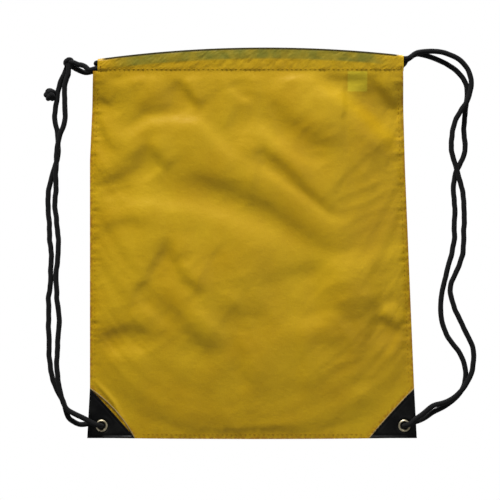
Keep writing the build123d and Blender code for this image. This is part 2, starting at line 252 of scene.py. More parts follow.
def noise_node(tree, place, scale, detail=3.0, rough=0.5):
    """A noise texture's factor over a place."""
    inputs = {"Vector": place, "Scale": scale, "Detail": detail, "Roughness": rough}
    return add_node(tree, "ShaderNodeTexNoise", inputs).outputs["Fac"]


def bump_node(tree, height, strength, distance, normal=None):
    """A bump node's normal."""
    inputs = {"Height": height, "Strength": strength, "Distance": distance}
    if normal is not None:
        inputs["Normal"] = normal
    return add_node(tree, "ShaderNodeBump", inputs).outputs["Normal"]


def grey(value):
    """A neutral colour."""
    return (value, value, value, 1)


CLOTH_COLOUR = (0.550, 0.352, 0.005, 1)
CLOTH_DEEP = (0.450, 0.262, 0.003, 1)
CLOTH_CORD_SHADOW = (0.180, 0.168, 0.014, 1)      # painted shadow of the cords inside the hem, seen through the cloth
CLOTH_EDGE_SHADE = (0.014, 0.012, 0.003, 1)       # painted shade along the hem's top edge
CLOTH_SEAM_SHADE = (0.300, 0.120, 0.002, 1)       # painted shade beside seams and patches, where the cloth puckers and folds
CLOTH_LABEL_LIGHT = (0.640, 0.560, 0.026, 1)      # painted light where the pale label lies behind the cloth
LEATHER_DEEP = (0.0018, 0.0018, 0.002, 1)
LEATHER_WORN = (0.006, 0.006, 0.0055, 1)
CORD_YARN = (0.007, 0.007, 0.0075, 1)
BRASS_CLEAN = (0.56, 0.50, 0.36, 1)
BRASS_TARNISHED = (0.34, 0.29, 0.18, 1)
WEAVE_PITCH = 0.00055                       # metres, as are the next two
BRAID_PITCH = 0.0012
RIB_PITCH = 0.0007
YARNS_AROUND = 8.0
LABEL_BLUR = 0.8                            # mm over which the painted label light fades at its outline


def cloth_material():
    """Thin satin nylon: fine plain weave, soft colour drift, painted shadow of the cords and painted
    light of the label behind it, painted shade at the hem's top edge and beside seams.
    """
    material, tree, shader = new_material("mustard_nylon")
    place = attribute(tree, "rest", "Vector")
    x, y, z = parts_of(tree, place)
    painted_cord_shadow, edge, seam = (attribute(tree, key) for key in ("painted_cord_shadow", "edge", "seam"))
    drift = noise_node(tree, place, 14.0, 4.0)
    fibre = noise_node(tree, place, 900.0, 2.0)
    shade = calc(tree, "MULTIPLY_ADD", drift, 0.55, calc(tree, "MULTIPLY", fibre, 0.25))
    colour = mix_colour(tree, ramp_between(tree, shade, 0.25, 0.60), CLOTH_DEEP, CLOTH_COLOUR)
    mottle = noise_node(tree, place, 70.0, 3.0)
    # Painted shadow of the cords inside the hem, seen through the cloth, patchy with noise.
    cord_shadow_mix = calc(tree, "MULTIPLY", painted_cord_shadow, ramp_between(tree, mottle, 0.25, 0.70, 1.0, 0.62))
    colour = mix_colour(tree, cord_shadow_mix, colour, CLOTH_CORD_SHADOW)
    # Painted shade along the hem's top edge.
    colour = mix_colour(tree, edge, colour, CLOTH_EDGE_SHADE)
    # Painted shade beside seams and patches, broken up by noise.
    broken = ramp_between(tree, noise_node(tree, place, 260.0, 2.0), 0.35, 0.62)
    colour = mix_colour(tree, calc(tree, "MULTIPLY", seam, broken), colour, CLOTH_SEAM_SHADE)
    # Painted light where the pale label lies behind the front cloth, fading at its outline.
    label = calc(tree, "MULTIPLY", ramp_between(tree, y, -0.002, 0.0, 1.0, 0.0), 0.5)
    for part, axis in ((x, 0), (z, 2)):
        for border, start, end in ((label_low, 0.0, 1.0), (label_high, 1.0, 0.0)):
            low, high = ((border[axis] + side * LABEL_BLUR) * MM for side in (-1, 1))
            label = calc(tree, "MULTIPLY", label, ramp_between(tree, part, low, high, start, end))
    weave = calc(tree, "MULTIPLY", ripple(tree, x, WEAVE_PITCH), ripple(tree, z, WEAVE_PITCH))
    crumple = bump_node(tree, noise_node(tree, place, 160.0, 4.0, 0.6), 0.35, 0.0010)
    # Where the edge shade is painted, its specular and sheen are taken away too.
    dull = calc(tree, "SUBTRACT", 1.0, edge)
    fill(tree, shader, {
        "Base Color": mix_colour(tree, label, colour, CLOTH_LABEL_LIGHT),
        "Normal": bump_node(tree, weave, 0.20, 0.00008, crumple),
        "Roughness": ramp_between(tree, drift, 0.3, 0.7, 0.42, 0.52),
        "Specular IOR Level": calc(tree, "MULTIPLY", dull, 0.22),
        "Sheen Weight": calc(tree, "MULTIPLY", dull, 0.08),
        "Sheen Roughness": 0.4,
        "Sheen Tint": (1.0, 0.85, 0.45, 1),
    })
    return material


def leather_material():
    """Black coated leather: pebbled grain, faint worn sheen."""
    material, tree, shader = new_material("black_grain_leather")
    place = attribute(tree, "rest", "Vector")
    pebbles = add_node(tree, "ShaderNodeTexVoronoi", {"Vector": place, "Scale": 900.0}, feature="F1")
    creases = bump_node(tree, noise_node(tree, place, 110.0, 5.0, 0.6), 0.5, 0.0012)
    worn = noise_node(tree, place, 60.0, 3.0)
    patchy = ramp_between(tree, worn, 0.45, 0.75)
    fill(tree, shader, {
        "Base Color": mix_colour(tree, patchy, LEATHER_DEEP, LEATHER_WORN),
        "Roughness": ramp_between(tree, worn, 0.3, 0.7, 0.42, 0.58),
        "Normal": bump_node(tree, pebbles.outputs["Distance"], 0.35, 0.00025, creases),
        "Specular IOR Level": 0.12,
    })
    return material


def cord_material():
    """Matte black braided polyester: yarns along both helices with painted shade between them, fuzzy
    sheen.
    """
    material, tree, shader = new_material("black_braid")
    lay = attribute(tree, "lay", "Vector")
    side, across, along = parts_of(tree, lay)
    pitch = calc(tree, "MULTIPLY", along, 2 * math.pi / BRAID_PITCH)
    turn = calc(tree, "MULTIPLY", calc(tree, "ARCTAN2", across, side), YARNS_AROUND)
    one = calc(tree, "SINE", calc(tree, "ADD", turn, pitch))
    two = calc(tree, "SINE", calc(tree, "SUBTRACT", turn, pitch))
    yarn = calc(tree, "MAXIMUM", one, two)
    fuzz = calc(tree, "MULTIPLY", noise_node(tree, lay, 3.0, 2.0), 0.2)
    # Painted shade in the grooves between the yarns, where the braid is low.
    colour = mix_colour(tree, ramp_between(tree, yarn, -0.6, 0.9), grey(0.0015), CORD_YARN)
    fill(tree, shader, {
        "Base Color": mix_colour(tree, fuzz, colour, grey(0.016)),
        "Normal": bump_node(tree, yarn, 0.6, 0.00022),
        "Roughness": 0.88,
        "Specular IOR Level": 0.12,
        "Sheen Weight": 0.04,
    })
    return material


def brass_material():
    """Pale brass with a rolled, lightly scratched and tarnished surface."""
    material, tree, shader = new_material("pale_brass")
    place = attribute(tree, "rest", "Vector")
    tarnish = noise_node(tree, place, 300.0, 4.0)
    scratch = noise_node(tree, place, 2600.0, 2.0)
    patchy = ramp_between(tree, tarnish, 0.35, 0.75)
    fill(tree, shader, {
        "Base Color": mix_colour(tree, patchy, BRASS_CLEAN, BRASS_TARNISHED),
        "Roughness": ramp_between(tree, tarnish, 0.3, 0.7, 0.40, 0.55),
        "Normal": bump_node(tree, scratch, 0.25, 0.00006),
        "Metallic": 1.0,
    })
    return material


def thread_material(name, deep, pale):
    """Two-ply polyester thread."""
    material, tree, shader = new_material(name)
    ply = noise_node(tree, attribute(tree, "rest", "Vector"), 1800.0, 2.0)
    fill(tree, shader, {
        "Base Color": mix_colour(tree, ply, deep, pale),
        "Normal": bump_node(tree, ply, 0.5, 0.0001),
        "Roughness": 0.7,
        "Specular IOR Level": 0.12,
    })
    return material


def label_material(name, pale, deep):
    """Woven label or tape cloth: pale satin with a fine rib."""
    material, tree, shader = new_material(name)
    place = attribute(tree, "rest", "Vector")
    rib = ripple(tree, parts_of(tree, place)[2], RIB_PITCH)
    fill(tree, shader, {
        "Base Color": mix_colour(tree, noise_node(tree, place, 200.0, 3.0), pale, deep),
        "Normal": bump_node(tree, rib, 0.3, 0.0001),
        "Roughness": 0.7,
    })
    return material


CLOTH = cloth_material()
LEATHER = leather_material()
CORD = cord_material()
BRASS = brass_material()
THREAD = thread_material("ochre_thread", (0.33, 0.16, 0.003, 1), (0.46, 0.26, 0.005, 1))
HEM_THREAD = thread_material("mustard_thread", (0.46, 0.26, 0.004, 1), (0.56, 0.35, 0.006, 1))
CORD_THREAD = thread_material("black_thread", grey(0.006), grey(0.02))
LABEL = label_material("blank_label", (0.72, 0.70, 0.62, 1), (0.60, 0.58, 0.50, 1))
TAPE = label_material("beige_backing", (0.36, 0.26, 0.10, 1), (0.24, 0.16, 0.04, 1))


# ---- outline from the frame -------------------------------------------------------------
def edge_profile(node, hand, heights):
    """X of a CAD node's outer edge at each height, by rays along X just inside its cloth."""
    mesh = frame["nodes"][node].data
    verts = [v.co.copy() for v in mesh.vertices]
    tree = BVHTree.FromPolygons(verts, [tuple(p.vertices) for p in mesh.polygons])
    found = []
    for height in heights:
        level = min(max(height, 0.4), SEAM_TOP - 0.4) * MM
        hit = tree.ray_cast(Vector((hand, -0.3 * MM, level)), Vector((-hand, 0, 0)))[0]
        found.append(hit.x / MM)
    return np.array(found)


def hem_top(x):
    """Height of the bowed top edge."""
    return BOW_Z + np.sqrt(BOW_RADIUS**2 - (x - BOW_X) ** 2)


# ---- sculpted folds ---------------------------------------------------------------------
def along_line(x, z, points):
    """Signed distance above a line of points, and how far along it (0 to 1) the nearest point is."""
    best = np.full(x.shape, 1e9)
    signed = np.zeros(x.shape)
    place = np.zeros(x.shape)
    lengths = [math.dist(a, b) for a, b in zip(points, points[1:])]
    total, run = sum(lengths), 0.0
    for (ax, az), (bx, bz), length in zip(points, points[1:], lengths):
        ux, uz = (bx - ax) / length, (bz - az) / length
        t = np.clip((x - ax) * ux + (z - az) * uz, 0, length)
        dx, dz = x - (ax + t * ux), z - (az + t * uz)
        distance = np.hypot(dx, dz)
        nearer = distance < best
        best = np.where(nearer, distance, best)
        signed = np.where(nearer, np.where(ux * dz - uz * dx >= 0, distance, -distance), signed)
        place = np.where(nearer, (run + t) / total, place)
        run += length
    return signed, place


STEEPEST = 0.50      # slope of a band of strength 1


def band(x, z, points, strength, width):
    """A sloping band of cloth along a line: it overhangs where strength is positive."""
    signed, place = along_line(x, z, points)
    fade = smooth(0, 0.3, place) * smooth(1, 0.7, place)
    profile = np.tanh(signed / width) * np.exp(-np.abs(signed) / (3.2 * width))
    return STEEPEST * strength * width * fade * profile


def ridge(x, z, points, height, above, below):
    """A soft ridge along a line; above and below are its widths on each side."""
    signed, place = along_line(x, z, points)
    width = np.where(signed >= 0, above, below)
    return height * np.sin(np.pi * place) ** 0.5 * np.exp(-((signed / width) ** 2))


# The main folds of the cloth. Each band is points along it, its strength, and its width.
FRONT_BANDS = [
    ([(-108, 296), (-80, 288), (-53, 280), (-18, 268), (20, 249),
      (51, 228), (82, 207), (104, 191), (114, 178)], 0.64, 15),
    ([(-113, 322), (-103, 306), (-92, 288)], 0.7, 7),
    ([(-172, 268), (-130, 293), (-104, 316)], 0.5, 12),
    ([(80, 200), (88, 164), (100, 124)], 0.55, 18),
    ([(-134, 147), (-113, 174), (-98, 201), (-89, 222)], 0.6, 6),
    ([(-90, 220), (-84, 197), (-73, 174), (-59, 162), (-42, 159)], 0.85, 7.5),
    ([(-105, 176), (-88, 147), (-69, 120), (-49, 101), (-26, 89)], 0.66, 12),
    ([(-176, 98), (-152, 115), (-127, 120), (-96, 108)], 0.55, 10),
    ([(-169, 215), (-150, 232), (-130, 236), (-107, 229)], 0.4, 6.5),
    ([(-46, 143), (-15, 137), (24, 135)], 0.28, 11),
    ([(130, 134), (165, 117)], 0.9, 7),
    ([(-150, 44), (-134, 18), (-106, 4), (-53, 6), (5, 9), (36, 10), (63, 6), (112, 4)], 0.15, 6),
    ([(-79, 390), (-65, 367), (-57, 354)], 1, 5),
    ([(5, 387), (36, 348), (67, 324), (98, 312), (113, 317)], 0.55, 13),
    ([(-15, 306), (13, 310), (36, 292), (59, 267), (82, 247), (109, 243)], 0.8, 8),
    ([(126, 391), (143, 371), (166, 345)], 0.95, 6.5),
    ([(-168, 350), (-158, 325), (-145, 305)], 0.6, 5),
    ([(-169, 371), (-150, 359)], 0.8, 3),
    ([(-143, 331), (-119, 352), (-78, 361)], 0.35, 5),
    ([(-28, 331), (-15, 361)], 0.4, 3.5),
    ([(62, 116), (86, 103), (114, 112)], 0.26, 10),
    ([(76, 118), (74, 160), (70, 205)], -0.3, 9),
    ([(128, 118), (132, 160), (126, 196)], 0.35, 10),
    ([(-20, 120), (-8, 84), (-2, 40)], 0.35, 7),
    ([(56, 30), (54, 80), (48, 135)], -0.3, 9),
    ([(-15, 85), (1, 54)], 0.3, 6),
    ([(-171, 249), (-138, 252), (-103, 255), (-65, 251), (-26, 240),
      (13, 224), (43, 212), (72, 195)], -0.42, 15),
    ([(-148, 307), (-130, 328), (-111, 342), (-84, 345), (-55, 342),
      (-40, 324), (-24, 306), (1, 296)], -0.6, 8),
    ([(-18, 297), (13, 289), (40, 270), (67, 251), (96, 230)], -0.62, 5.5),
    ([(-1, 352), (24, 322), (51, 301), (82, 290)], -0.5, 9),
    ([(51, 390), (98, 367), (125, 346), (148, 324), (164, 302)], -0.95, 11),
    ([(-161, 377), (-123, 394), (-84, 395)], -0.5, 11),
    ([(-132, 361), (-111, 377), (-84, 380)], -0.3, 5),
    ([(-163, 88), (-134, 96), (-105, 93)], -0.4, 9),
    ([(-65, 147), (-42, 124), (-22, 101)], -0.35, 6),
    ([(105, 54), (148, 45)], -0.3, 10),
    ([(138, 141), (159, 145)], -0.5, 6),
    ([(-30, 382), (-9, 365), (5, 366)], -0.6, 3.5),
    ([(-134, 141), (-103, 137)], -0.3, 7),
    ([(-82, 193), (-65, 184)], -0.4, 5),
    ([(67, 240), (113, 232)], -0.25, 9),
]
# The ridge of cloth beside the left front patch's pale edge.
CORNER_FOLD = [(-172, 63), (-160, 50), (-149, 37), (-141, 21), (-135, 8)]
BACK_BANDS = [
    ([(-150, 330), (-100, 312), (-60, 300), (-10, 300), (40, 312), (100, 332), (145, 350)], 0.75, 12),
    ([(-155, 240), (-100, 231), (-60, 215), (0, 195), (60, 170), (140, 120)], 0.85, 12),
    ([(-150, 110), (-110, 92), (-60, 80), (30, 72)], 0.8, 9),
    ([(40, 268), (75, 244), (110, 228), (155, 205)], 0.7, 8),
    ([(-100, 385), (-82, 362), (-70, 340)], 0.8, 5),
    ([(30, 385), (48, 366), (60, 340)], 0.8, 5),
    ([(110, 392), (128, 366), (160, 344)], 0.7, 7),
    ([(-162, 188), (-140, 172), (-112, 168)], 0.8, 7),
    ([(-40, 150), (-12, 134), (10, 108)], 0.7, 8),
    ([(60, 60), (100, 74), (140, 100)], 0.7, 8),
    ([(-140, 290), (-90, 270), (-40, 262), (60, 262)], -0.6, 13),
    ([(-130, 180), (-75, 168), (-20, 150), (90, 100)], -0.6, 13),
    ([(60, 340), (105, 358), (150, 385)], -0.6, 8),
    ([(-150, 362), (-118, 352), (-84, 356)], -0.6, 7),
]
HALF_COLUMNS, ROWS = 88, 200


def panel_grid():
    """X and Z of a panel's grid: rows go up, columns left to right, the middle one at 0."""
    heights = np.linspace(0, SEAM_TOP, ROWS)
    left = edge_profile("front_panel", -1, heights)
    right = edge_profile("front_panel", 1, heights)
    share = np.linspace(0, 1, HALF_COLUMNS + 1)
    share = 0.5 * share + 0.5 * np.sin(share * np.pi / 2)   # finer towards the side seams
    x = np.concatenate([left[:, None] * share[::-1], right[:, None] * share[1:]], axis=1)
    across = np.concatenate([-share[::-1], share[1:]])
    rise = heights[:, None] / SEAM_TOP
    bottom = -1.4 * (1 - across**2) + 0.3
    z = bottom[None, :] * (1 - rise) + heights[:, None]
    return x, z, np.broadcast_to(across, x.shape)


grid_x, grid_z, grid_u = panel_grid()
side_gap = (1 - np.abs(grid_u)) * np.where(grid_u < 0, -grid_x[:, :1], grid_x[:, -1:])


def past_diagonal(x, z):
    """How far beyond a corner patch's diagonal a place is; the corner itself is at -1."""
    return (PATCH_OUTER - np.abs(x)) / PATCH_WIDE + z / PATCH_TALL - 1


def patch_clear(x, z):
    """0 under a corner patch, rising to 1 over the cloth beyond its diagonal."""
    return smooth(0.0, 1.3, past_diagonal(x, z))


def seam_pucker(x, z, gap, seed):
    """Small gathers that stitching pulls along a seam; gap is the distance from it."""
    ripple = noise_at(z, np.zeros_like(z), 4.5, seed) + 0.6 * noise_at(z, x, 9.0, seed + 3)
    return 0.8 * ripple * np.exp(-((gap - 5.0) / 6.5) ** 2)


def hem_pucker(x, drop, seed):
    """Small gathers along the hem's stitch line; drop is the distance from it."""
    ripple = noise_at(x, np.zeros_like(x), 5.0, seed) + 0.5 * noise_at(x, drop, 11.0, seed + 2)
    return 0.25 * ripple * np.exp(-((drop / 7.0) ** 2))


def rumple(x, z, seed):
    """Loose wrinkles everywhere: ridged noise whose lines drift, in three sizes."""
    drift_x = x + 14 * noise_at(x, z, 70.0, seed)
    drift_z = z + 14 * noise_at(x, z, 70.0, seed + 1)
    total = np.zeros(x.shape)
    for size, height, angle in ((62.0, 0.5, -0.5), (34.0, 0.5, -0.9), (17.0, 0.30, 0.4)):
        along = drift_x * math.cos(angle) + drift_z * math.sin(angle)
        across = drift_z * math.cos(angle) - drift_x * math.sin(angle)
        wave = noise_at(along * 0.45, across, size, seed + size)
        total += height * (1 - 2.2 * np.abs(wave)) * (0.6 + 0.8 * noise_at(x, z, 90.0, seed + 5))
    return total


def stand_out(deepest, side_power, lift_height, lift_power, rise_from):
    """How far a panel stands out from the seam plane, before simulation and folds."""
    open_top = smooth(SEAM_TOP - 45, SEAM_TOP, grid_z)
    rise = smooth(rise_from, SEAM_TOP, grid_z)
    across = (1 - np.abs(grid_u) ** side_power) * (1 - open_top) + open_top
    lift = 1 - (1 - np.clip(grid_z / lift_height, 0, 1)) ** lift_power
    swell = deepest * (1 - rise) + (RUN_DEPTH + SEAM_STAND) * rise
    return CLOTH_THICK + swell * across * lift * patch_clear(grid_x, grid_z)


def even_out(field, reach):
    """The running mean of a grid, over reach cells to each side of every cell."""
    for axis in (0, 1):
        pad = [(0, 0)] * field.ndim
        pad[axis] = (reach + 1, reach)
        total = np.cumsum(np.pad(field, pad, mode="edge"), axis=axis)
        size = field.shape[axis]
        later = np.take(total, np.arange(size) + 2 * reach + 1, axis=axis)
        field = (later - np.take(total, np.arange(size), axis=axis)) / (2 * reach + 1)
    return field


def spread(field, shape):
    """A field of the trial's coarse grid, read between its points on the full grid."""
    at = [np.arange(count) / SIM_STEP for count in shape]
    r, c = (np.minimum(a.astype(int), size - 2) for a, size in zip(at, field.shape))
    up, on = (at[0] - r)[:, None, None], (at[1] - c)[None, :, None]
    low = field[r][:, c] * (1 - on) + field[r][:, c + 1] * on
    high = field[r + 1][:, c] * (1 - on) + field[r + 1][:, c + 1] * on
    return low * (1 - up) + high * up


NYLON = {
    "quality": 6, "mass": 0.12, "tension_stiffness": 18, "compression_stiffness": 12,
    "shear_stiffness": 6, "bending_stiffness": 0.05, "vertex_group_mass": "sewn",
    "shrink_min": -0.006, "use_pressure": True, "uniform_pressure_force": 0.06,
}
SIM_STEP = 2         # the trial takes every second row and column
SIM_FRAMES = 22
SIM_SHARE = 0.25     # how much of a simulated wrinkle is kept
SIM_CAP = 1.2        # mm that a wrinkle may move the cloth
SWELL_REACH = 4      # cells of the trial's grid: swelling wider than this is left out


def simulate(depth, hand, seed):
    """Lets the cloth wrinkle between its sewn edges, and returns how far its wrinkles moved."""
    x, z, d = (a[::SIM_STEP, ::SIM_STEP] for a in (grid_x, grid_z, depth))
    rows, columns = x.shape
    start = np.stack([x, hand * d, z], axis=2)
    start[..., 1] += 0.15 * noise_at(x, z, 30.0, seed)
    mesh = bpy.data.meshes.new("cloth_trial")
    mesh.from_pydata((start.reshape(-1, 3) * MM).tolist(), [], quads(rows, columns))
    trial = bpy.data.objects.new("cloth_trial", mesh)
    bpy.context.scene.collection.objects.link(trial)
    held = patch_clear(x, z) < 0.05
    held[0], held[-1], held[:, 0], held[:, -1] = True, True, True, True
    group = trial.vertex_groups.new(name="sewn")
    group.add(np.flatnonzero(held.ravel()).tolist(), 1.0, "REPLACE")
    cloth = trial.modifiers.new("cloth", "CLOTH")
    for key, value in NYLON.items():
        setattr(cloth.settings, key, value)
    cloth.settings.effector_weights.gravity = 0.12
    cloth.collision_settings.use_collision = False
    scene = bpy.context.scene
    cloth.point_cache.frame_start, cloth.point_cache.frame_end = 1, 40
    for number in range(1, SIM_FRAMES + 1):
        scene.frame_set(number)
    shaped = trial.evaluated_get(bpy.context.evaluated_depsgraph_get())
    moved = np.zeros(rows * columns * 3, np.float32)
    shaped.data.vertices.foreach_get("co", moved)
    moved = moved.reshape(rows, columns, 3) / MM - start
    scene.frame_set(1)
    bpy.data.objects.remove(trial)
    moved -= even_out(even_out(moved, SWELL_REACH), SWELL_REACH)
    moved *= SIM_SHARE
    far = np.linalg.norm(moved, axis=2, keepdims=True)
    moved *= np.minimum(1.0, SIM_CAP / np.maximum(far, 1e-6))
    return spread(moved, depth.shape)


def panel_points(depth, bands, hand, seed):
    """The finished outer side of a panel; hand is -1 for the front, +1 for the back."""
    points = np.stack([grid_x, hand * depth, grid_z], axis=2)
    clear = patch_clear(grid_x, grid_z)
    free = smooth(0, 14, side_gap) * smooth(0, 50, SEAM_TOP - grid_z) * smooth(0, 14, grid_z)
    points = points + simulate(depth, hand, seed) * (free * clear)[..., None]
    folds = even_out(sum(band(grid_x, grid_z, *b) for b in bands), 1)
    folds += rumple(grid_x, grid_z, seed + 1)
    calm = smooth(0, 10, side_gap) * smooth(0, 12, SEAM_TOP - grid_z)
    points[..., 1] += hand * folds * calm * clear
    if hand < 0:
        points[..., 1] -= ridge(grid_x, grid_z, CORNER_FOLD, 1.4, 3.0, 1.7)
    pucker = seam_pucker(grid_x, grid_z, side_gap, seed) * smooth(56, 70, grid_z)
    pucker += hem_pucker(grid_x, SEAM_TOP - grid_z, seed + 5)
    near_bottom = np.exp(-((grid_z - 5) / 5) ** 2) * smooth(0, 12, 126 - np.abs(grid_x))
    pucker += 0.5 * noise_at(grid_x, np.zeros_like(grid_x), 5.0, seed + 7) * near_bottom
    fade = smooth(0.0, 2.0, side_gap) * smooth(0.0, 1.5, grid_z + 1.2)
    points[..., 1] += hand * pucker * fade
    stand = hand * points[..., 1]
    points[..., 1] = hand * np.maximum(stand, 0.25)
    return points


def drag(piece):
    """Bakes the piece's transform into its mesh."""
    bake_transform(piece)


def cloth_halves(node, points, normals, marks):
    """Makes a grid of cloth as a left and a right piece that meet at the middle column."""
    left, right = slice(0, HALF_COLUMNS + 1), slice(HALF_COLUMNS, None)
    for (hand, side), part in zip(HANDS, (left, right)):
        verts, faces, both = shell(points[:, part], normals[:, part], CLOTH_THICK)
        half = {
            key: np.tile(marks[key][:, part].ravel(), 2) if key in marks else np.zeros(len(verts))
            for key in ("painted_cord_shadow", "edge", "seam")
        }
        name = f"{node}_{side}"
        drag(make_object(name, node, verts, faces, CLOTH, half, both))


front_depth = stand_out(FRONT_DEPTH * 0.62, 4, 190, 2.4, 250)
back_depth = stand_out(BACK_DEPTH - 0.6, 7, 60, 3, SEAM_TOP - 45)
sheets = {
    ("panel", -1): panel_points(front_depth, FRONT_BANDS, -1, 2.0),
    ("panel", 1): panel_points(back_depth, BACK_BANDS, 1, 31.0),
}
# Painted shade beside the side and bottom seams and along the patches' diagonals.
patch_gap = np.abs(past_diagonal(grid_x, grid_z)) * PATCH_DEEP
patch_fold_shade = 0.8 * (1 - smooth(0.8, 7.0, patch_gap)) * smooth(70, 60, grid_z)
seam_pucker_shade = 0.75 * (1 - smooth(0.8, 4.5, np.minimum(side_gap, grid_z + 1.0)))
seam_shade_marks = {"seam": np.maximum(seam_pucker_shade, patch_fold_shade)}
for away, face_name in FACES:
    sheet = sheets["panel", away]
    cloth_halves(f"{face_name}_panel", sheet, -away * grid_normals(sheet), seam_shade_marks)


# ---- hems ------------------------------------------------------------------------------
HEM_PAST = 3.5                      # how far the hem's cloth goes past the CAD hem's ends
HEM_LEFT, HEM_RIGHT = hem_low[0] - HEM_PAST, hem_high[0] + HEM_PAST
LOW_CORD = 10.1                     # how far the lower cord lies below the top edge
HEM_ROUND = 3.45                    # the hem's outer radius round a cord


def hem_half_thickness(drop, height, outward):
    """Half the hem's thickness at a distance below the top edge."""
    radius, low = HEM_ROUND, LOW_CORD + 0.3
    upper = np.sqrt(np.maximum(radius**2 - (radius - np.minimum(drop, radius)) ** 2, 0))
    lower = np.sqrt(np.maximum(radius**2 - np.maximum(drop - low, 0) ** 2, 0))
    low_stand = np.where(outward, SEAM_STAND + 0.42, 0.42)
    taper = (radius - low_stand) * (1 - smooth(low, np.maximum(height, 15.0), drop)) + low_stand
    return np.where(drop < radius, upper, np.maximum(lower, np.where(drop > low, taper, 0)))


def hem_grid(hand, seed):
    """The outer side of a hem: columns along X, rows up one face, over, and down the other."""
    per_side = 26
    share = np.linspace(0, 1, HALF_COLUMNS + 1)
    x = np.concatenate([HEM_LEFT * share[::-1], HEM_RIGHT * share[1:]])
    top = hem_top(x)
    height = top - SEAM_TOP
    climb = np.sin(np.linspace(0, np.pi / 2, per_side)) ** 1.15
    drops = np.concatenate([1 - climb, (1 - climb)[::-1][1:]])
    face = np.concatenate([np.full(per_side, 1.0), np.full(per_side - 1, -1.0)])
    drop = drops[:, None] * height[None, :]
    half = hem_half_thickness(drop, height[None, :], face[:, None] > 0)
    xx = np.broadcast_to(x, drop.shape)
    wave = 0.9 * np.abs(noise_at(xx, drop * face[:, None], 14.0, seed))
    wave += 0.5 * np.abs(noise_at(xx + drop * 0.8, drop, 5.0, seed + 4))
    wave *= smooth(0.0, 3.0, drop) * smooth(0.0, 3.0, height[None, :] - drop)
    wave += hem_pucker(xx, height[None, :] - drop, seed)
    out = face[:, None] * half + np.where(face[:, None] > 0, wave, 0.4 * wave)
    depth = RUN_DEPTH + out
    points = np.stack([xx, hand * depth, top[None, :] - drop], axis=2)
    ends = np.minimum(xx - HEM_LEFT, HEM_RIGHT - xx)
    # Painted shadow of the cords inside the hem, weaker on the hem's inner face.
    painted_cord_shadow = (1 - smooth(11.0, 13.6, drop)) * smooth(9.0, 40.0, ends)
    painted_cord_shadow = np.where(face[:, None] > 0, painted_cord_shadow, painted_cord_shadow * 0.8)
    # Painted shade along the top edge, fading out towards the hem's ends.
    edge = (1 - smooth(1.9, 3.4, drop)) * smooth(3.0, 9.0, ends) * 0.97
    return points, {"painted_cord_shadow": painted_cord_shadow, "edge": edge}


for (away, face_name), hem_seed in zip(FACES, (7.0, 36.0)):
    sheet, hem_marks = hem_grid(away, hem_seed)
    sheets["hem", away] = sheet
    cloth_halves(f"{face_name}_hem", sheet, -away * grid_normals(sheet), hem_marks)
trees = {
    key: BVHTree.FromPolygons(sheet.reshape(-1, 3).tolist(), quads(*sheet.shape[:2]))
    for key, sheet in sheets.items()
}


# ---- cords -----------------------------------------------------------------------------
SKIN_STEP = 0.9      # mm between the points taken on a CAD cord's skin
CLOUD_CELL = 0.25
WALK_REACH = 1.2     # how near a point of the cloud counts for the next step


def axis_cloud(nodes):
    """Points on the centre lines of round CAD cords, from their skin moved in by the radius."""
    found = []
    for node in nodes:
        mesh = frame["nodes"][node].data
        mesh.calc_loop_triangles()
        place = np.empty(len(mesh.vertices) * 3, np.float32)
        mesh.vertices.foreach_get("co", place)
        index = np.empty(len(mesh.loop_triangles) * 3, np.int32)
        mesh.loop_triangles.foreach_get("vertices", index)
        a, b, c = (place.reshape(-1, 3)[index.reshape(-1, 3)[:, k]] / MM for k in range(3))
        normal = np.cross(b - a, c - a)
        size = np.linalg.norm(normal, axis=1)
        sides = [np.linalg.norm(q - p, axis=1) for p, q in ((a, b), (b, c), (c, a))]
        counts = np.ceil(np.max(sides, axis=0) / SKIN_STEP).astype(int)
        counts[size < 1e-6] = 0
        for count in np.unique(counts[counts > 0]):
            pick = counts == count
            inward = normal[pick] / size[pick][:, None] * CORD_RADIUS
            for i in range(count + 1):
                for j in range(count + 1 - i):
                    u, v = i / count, j / count
                    found.append(a[pick] + (b - a)[pick] * u + (c - a)[pick] * v - inward)
    cells = np.round(np.concatenate(found) / CLOUD_CELL).astype(int)
    return np.unique(cells, axis=0) * CLOUD_CELL


def walk(nodes, start, way):
    """The centre line of joined CAD cords, walked from a start point in 1 mm steps."""
    cloud = axis_cloud(nodes)
    cloud = cloud[np.argsort(cloud[:, 0])]
    here, way = np.array(start, float), np.array(way, float)
    way /= np.linalg.norm(way)
    line = [here]
    for _ in range(3000):
        guess = here + way
        first, last = np.searchsorted(cloud[:, 0], (guess[0] - WALK_REACH, guess[0] + WALK_REACH))
        near = cloud[first:last]
        near = near[np.linalg.norm(near - guess, axis=1) < WALK_REACH]
        ahead = near[(near - here) @ way > 0.3]
        if len(ahead) < 3:
            break
        turned = ahead.mean(axis=0) - here
        way = way * 0.5 + turned / np.linalg.norm(turned)
        way /= np.linalg.norm(way)
        here = here + way
        line.append(here)
    return softened(np.array(line), 6)


def softened(line, times):
    """A line whose inner points were moved towards their neighbours, so many times."""
    for _ in range(times):
        line[1:-1] = line[1:-1] * 0.5 + (line[:-2] + line[2:]) * 0.25
    return line


def resample(line, spacing):
    """Points at even steps along a line."""
    steps = np.linalg.norm(np.diff(line, axis=0), axis=1)
    at = np.concatenate([[0], np.cumsum(steps)])
    count = max(2, int(round(at[-1] / spacing)) + 1)
    where = np.linspace(0, at[-1], count)
    return np.stack([np.interp(where, at, line[:, k]) for k in range(3)], axis=1)


def ring_frames(line):
    """Tangent and two side directions at each point, without twist."""
    tangent = np.gradient(line, axis=0)
    tangent /= np.linalg.norm(tangent, axis=1)[:, None]
    side = np.cross(tangent[0], (0.3, 1.0, 0.2))
    side /= np.linalg.norm(side)
    sides = []
    for t in tangent:
        side = side - t * (side @ t)
        side /= np.linalg.norm(side)
        sides.append(side)
    sides = np.array(sides)
    return tangent, sides, np.cross(tangent, sides)


